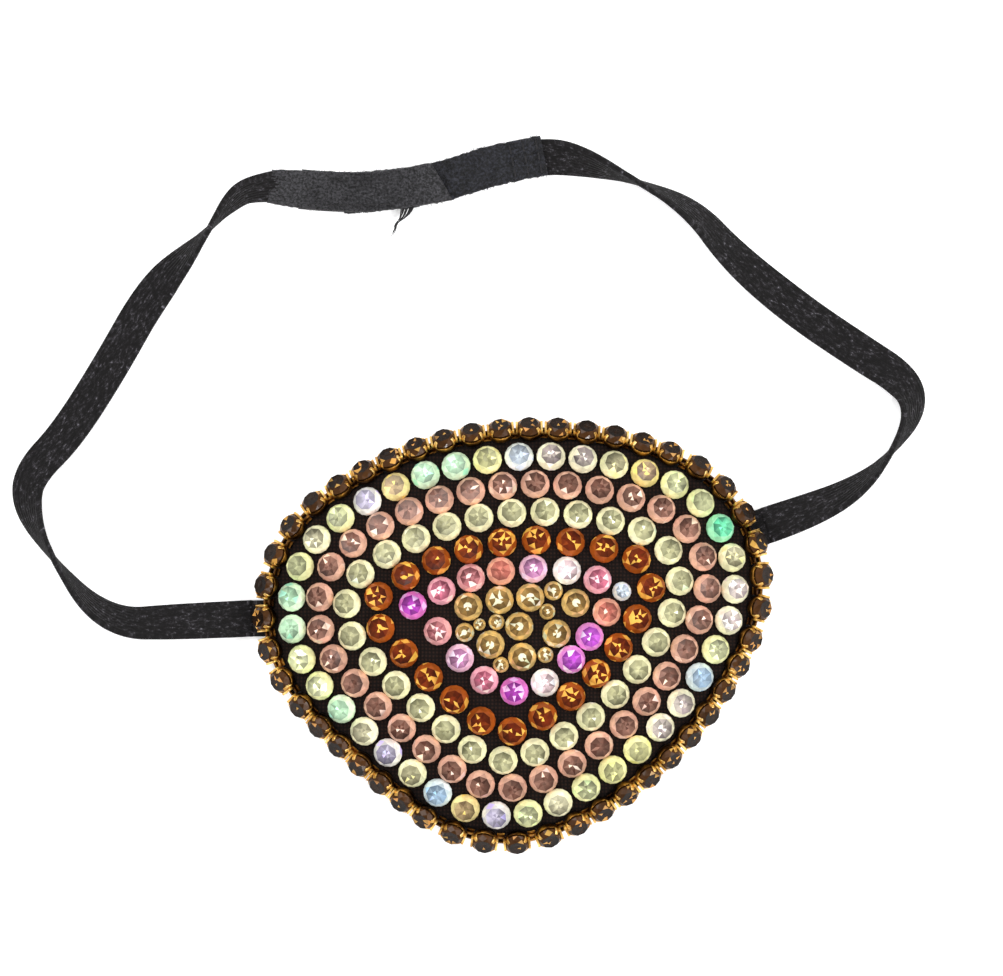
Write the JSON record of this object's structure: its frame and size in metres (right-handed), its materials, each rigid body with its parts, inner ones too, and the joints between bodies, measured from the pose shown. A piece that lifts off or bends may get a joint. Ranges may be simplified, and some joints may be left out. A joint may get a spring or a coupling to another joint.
{
  "type": "eye patch",
  "caption": "Domed, rhinestone-covered eye patch on a flat elastic strap with a hook-and-loop closure; the strap swings behind the patch.",
  "frame": {"origin": "on the resting plane, under the middle of the patch's base", "axes": "+X to the wearer's left as seen from the front, +Y up the face, +Z out of the face through the domed, jewelled side"},
  "size_m": [0.1519, 0.1184, 0.0142],
  "materials": {
    "felt": "matte needled felt",
    "foam": "soft open-cell foam",
    "cover_fabric": "matte woven",
    "chain_metal": "polished, slightly tarnished",
    "smoke_stone": "foil-backed, polished",
    "crystal_stone": "foil-backed, iridescent",
    "peach_stone": "foil-backed, polished",
    "jonquil_stone": "foil-backed, polished",
    "amber_stone": "foil-backed, polished",
    "rose_stone": "foil-backed, iridescent",
    "gold_stone": "metallic, polished",
    "elastic": "ribbed woven elastic",
    "loop_tape": "brushed nylon loop pile",
    "hook_tape": "woven nylon with hooks",
    "thread": "spun polyester"
  },
  "bodies": {
    "patch": {"felt_lining": "felt", "foam_core": "foam", "fabric_cover": "cover_fabric", "edge_chain_cups": "chain_metal", "edge_chain_links": "chain_metal", "edge_chain_stones": "smoke_stone", "crystal_row": "crystal_stone", "peach_row": "peach_stone", "jonquil_row": "jonquil_stone", "amber_row": "amber_stone", "rose_row": "rose_stone", "accent_stone": "crystal_stone", "gold_centre_large": "gold_stone", "gold_centre_small": "gold_stone", "left_strap_tail": "elastic", "right_strap_tail": "elastic", "left_tail_stitches": "thread", "right_tail_stitches": "thread"},
    "strap": {"left_elastic": "elastic", "right_elastic": "elastic", "loop_tape": "loop_tape", "loop_tape_stitches": "thread"},
    "hook_tab": {"hook_tab_elastic": "elastic", "hook_tape": "hook_tape", "hook_tape_stitches": "thread", "loose_thread": "thread"}
  },
  "joints": [
    {"name": "strap_swing", "type": "hinge", "parent": "patch", "child": "strap", "pos_m": [-0.0435, 0.0028, 0.00075], "axis": [0.9837, 0.1798, 0], "range_deg": [-100, 110]},
    {"name": "tab_peel", "type": "hinge", "parent": "strap", "child": "hook_tab", "pos_m": [-0.0386, 0.0739, 0.00285], "axis": [-0.0995, -0.995, 0], "range_deg": [0, 100]}
  ]
}
